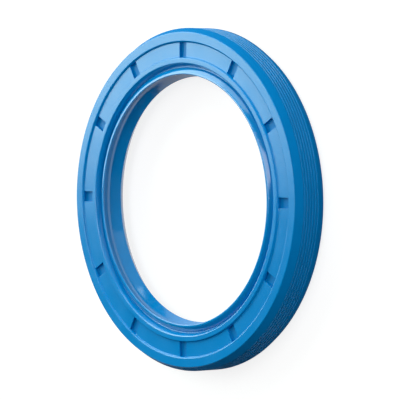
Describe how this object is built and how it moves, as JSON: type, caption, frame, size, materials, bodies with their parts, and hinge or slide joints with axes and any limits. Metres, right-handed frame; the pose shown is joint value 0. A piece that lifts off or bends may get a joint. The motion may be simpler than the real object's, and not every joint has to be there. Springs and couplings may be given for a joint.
{
  "type": "radial shaft seal",
  "caption": "Rubber-covered rotary shaft lip seal with a spring-loaded sealing lip, a dust lip and a ribbed outside that presses into a housing bore.",
  "frame": {"origin": "centre of the oil-side end plane, on the shaft's axis", "axes": "+Z along the shaft's axis towards the air side, +X through the middle of one pocket of the air-side face"},
  "size_m": [0.11, 0.11, 0.012],
  "materials": {
    "nitrile_rubber": "moulded, satin, blue",
    "pressed_steel": "cold-pressed and phosphated, matt",
    "spring_steel": "drawn wire, bright"
  },
  "bodies": {
    "root": {"rubber_body": "nitrile_rubber", "stiffening_ring": "pressed_steel", "garter_spring": "spring_steel"}
  },
  "joints": []
}
